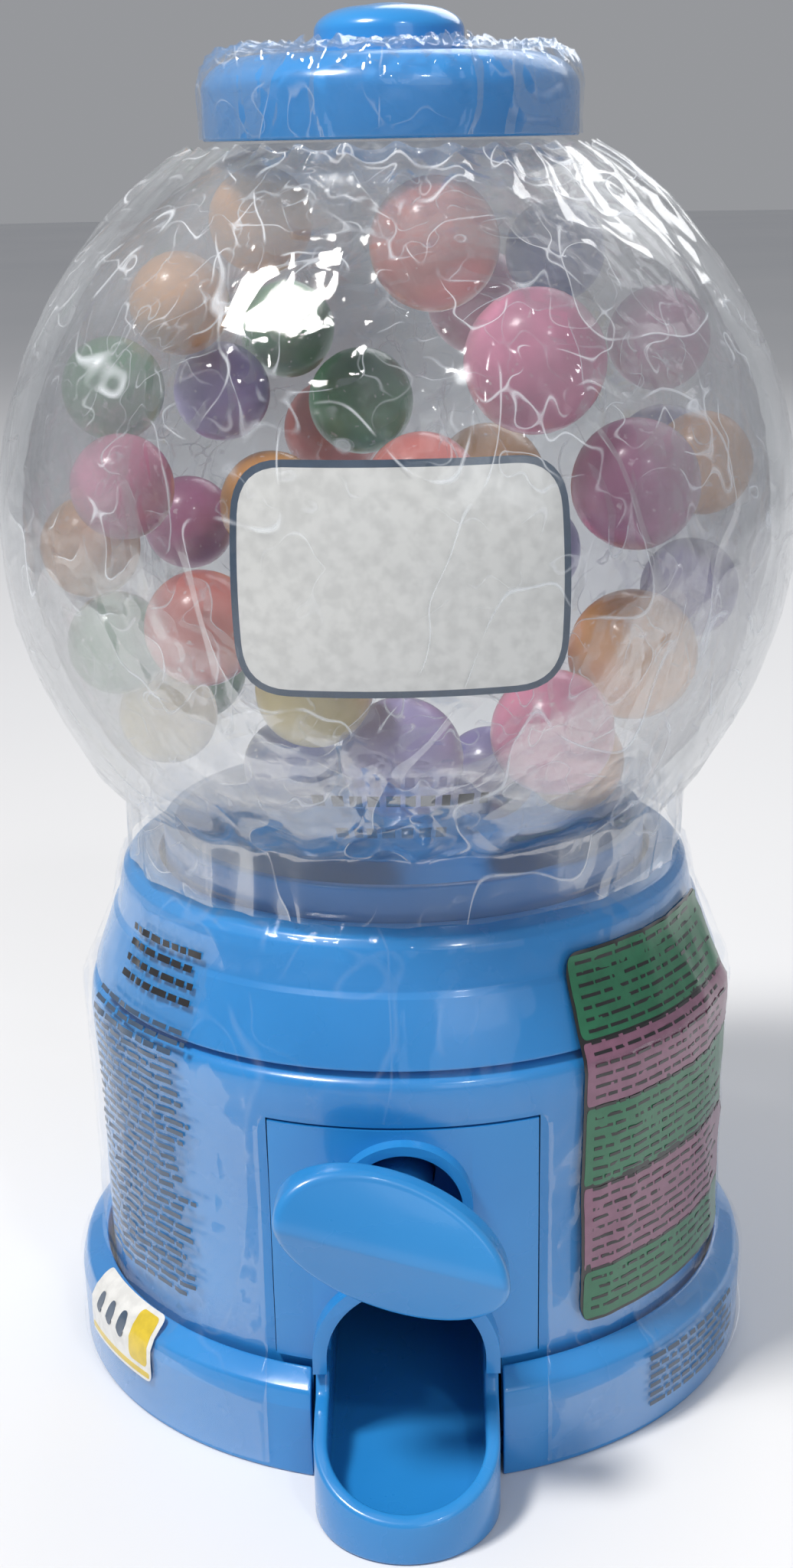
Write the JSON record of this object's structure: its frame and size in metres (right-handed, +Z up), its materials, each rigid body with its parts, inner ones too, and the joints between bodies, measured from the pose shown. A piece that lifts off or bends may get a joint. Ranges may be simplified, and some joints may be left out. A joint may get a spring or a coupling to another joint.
{
  "type": "gumball machine",
  "caption": "Toy gumball machine: clear globe of candy on a round blue base with a turning dial, an arch outlet, a tray and a lift-off lid.",
  "frame": {"origin": "middle of the underside of the base, on the axis of the globe", "axes": "+Z up along the axis of the globe, -Y out of the dial and the outlet tray"},
  "size_m": [0.0856, 0.0964, 0.1474],
  "materials": {
    "blue_plastic": "glossy sky blue moulding",
    "inner_plastic": "plain blue moulding inside the base",
    "clear_globe": "clear rigid plastic",
    "clear_film": "clear creased film",
    "steel": "zinc-plated screw",
    "candy_pink": "sugar shell",
    "candy_plum": "sugar shell",
    "candy_salmon": "sugar shell",
    "candy_navy": "sugar shell",
    "candy_green": "sugar shell",
    "candy_orange": "sugar shell",
    "candy_lavender": "sugar shell",
    "candy_cream": "sugar shell",
    "candy_violet": "sugar shell"
  },
  "bodies": {
    "base": {"top_cover": "blue_plastic", "body_shell": "blue_plastic", "front_plate": "blue_plastic", "outlet_tray": "blue_plastic", "foot_ring": "blue_plastic", "hopper": "inner_plastic", "bottom_plate": "inner_plastic", "drum_housing": "inner_plastic", "globe": "clear_globe", "film_globe": "clear_film", "film_body": "clear_film", "candy_bag": "clear_film", "housing_screw_1": "steel", "housing_screw_2": "steel", "base_screw_1": "steel", "base_screw_2": "steel", "base_screw_3": "steel", "gumball_01": "candy_pink", "gumball_02": "candy_plum", "gumball_03": "candy_salmon", "gumball_04": "candy_navy", "gumball_05": "candy_green", "gumball_06": "candy_orange", "gumball_07": "candy_orange", "gumball_08": "candy_green", "gumball_09": "candy_lavender", "gumball_10": "candy_pink", "gumball_11": "candy_orange", "gumball_12": "candy_salmon", "gumball_13": "candy_green", "gumball_14": "candy_cream", "gumball_15": "candy_orange", "gumball_16": "candy_orange", "gumball_17": "candy_violet", "gumball_18": "candy_pink", "gumball_19": "candy_orange", "gumball_20": "candy_lavender", "gumball_21": "candy_plum", "gumball_22": "candy_cream", "gumball_23": "candy_green", "gumball_24": "candy_salmon", "gumball_25": "candy_cream", "gumball_26": "candy_pink", "gumball_27": "candy_navy", "gumball_28": "candy_violet", "gumball_29": "candy_orange", "gumball_30": "candy_lavender", "gumball_31": "candy_pink", "gumball_32": "candy_salmon", "gumball_33": "candy_plum", "gumball_34": "candy_green", "gumball_35": "candy_orange", "gumball_36": "candy_violet", "gumball_37": "candy_cream"},
    "dial": {"dial_knob": "blue_plastic", "drum_screw": "steel", "dispensing_drum": "inner_plastic"},
    "lid": {"lid": "blue_plastic", "film_lid": "clear_film"}
  },
  "joints": [
    {"name": "dial_turn", "type": "hinge", "parent": "base", "child": "dial", "pos_m": [-0.001, -0.0285, 0.0322], "axis": [0, 1, 0], "continuous": true},
    {"name": "lid_lift", "type": "slide", "parent": "base", "child": "lid", "axis": [0, 0, 1], "range_m": [0, 0.02]}
  ]
}
